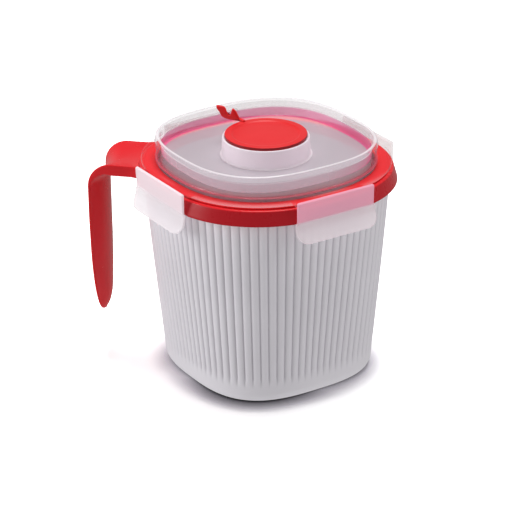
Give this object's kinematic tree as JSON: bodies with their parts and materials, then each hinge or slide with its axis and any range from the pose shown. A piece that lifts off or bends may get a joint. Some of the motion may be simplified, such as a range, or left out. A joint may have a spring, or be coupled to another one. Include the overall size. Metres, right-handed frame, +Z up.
{
  "type": "soup mug",
  "caption": "Double-wall soup mug, reeded rounded-square body, one-sided channel handle on a collar, clear clip lid with side latches and a pull-up steam vent.",
  "frame": {"origin": "centre of the base, on the table", "axes": "+Z up through the middle of the mug; the handle points along -X; the flat faces with the latches look along the diagonals between X and Y"},
  "size_m": [0.1478, 0.1264, 0.1264],
  "materials": {
    "shell": "fine satin",
    "cup": "smooth satin",
    "collar": "polished",
    "lid": "clear, faintly frosted",
    "latch": "clear, faintly frosted",
    "seal": "satin silicone",
    "vent": "satin"
  },
  "bodies": {
    "mug": {"outer_shell": "shell", "inner_cup": "cup", "collar_handle": "collar"},
    "lid": {"lid": "lid", "lid_seal": "seal"},
    "latch_front_left": {"latch_front_left": "latch"},
    "latch_front_right": {"latch_front_right": "latch"},
    "latch_back_left": {"latch_back_left": "latch"},
    "latch_back_right": {"latch_back_right": "latch"},
    "vent": {"vent_cap": "vent", "vent_seal": "seal"}
  },
  "joints": [
    {"name": "lid_lift", "type": "slide", "parent": "mug", "child": "lid", "axis": [0, 0, 1], "range_m": [0, 0.025]},
    {"name": "latch_front_left_hinge", "type": "hinge", "parent": "lid", "child": "latch_front_left", "pos_m": [-0.0419, -0.0419, 0.1073], "axis": [-0.7071, 0.7071, 0], "range_deg": [0, 150]},
    {"name": "latch_front_right_hinge", "type": "hinge", "parent": "lid", "child": "latch_front_right", "pos_m": [0.0419, -0.0419, 0.1073], "axis": [-0.7071, -0.7071, 0], "range_deg": [0, 150]},
    {"name": "latch_back_left_hinge", "type": "hinge", "parent": "lid", "child": "latch_back_left", "pos_m": [-0.0419, 0.0419, 0.1073], "axis": [0.7071, 0.7071, 0], "range_deg": [0, 150]},
    {"name": "latch_back_right_hinge", "type": "hinge", "parent": "lid", "child": "latch_back_right", "pos_m": [0.0419, 0.0419, 0.1073], "axis": [0.7071, -0.7071, 0], "range_deg": [0, 150]},
    {"name": "vent_lift", "type": "slide", "parent": "lid", "child": "vent", "axis": [0, 0, 1], "range_m": [0, 0.004]}
  ],
  "couplings": [
    {"joint": "latch_front_left_hinge", "follows": "lid_lift", "rad_per_m": 104},
    {"joint": "latch_front_right_hinge", "follows": "lid_lift", "rad_per_m": 104},
    {"joint": "latch_back_left_hinge", "follows": "lid_lift", "rad_per_m": 104},
    {"joint": "latch_back_right_hinge", "follows": "lid_lift", "rad_per_m": 104}
  ]
}
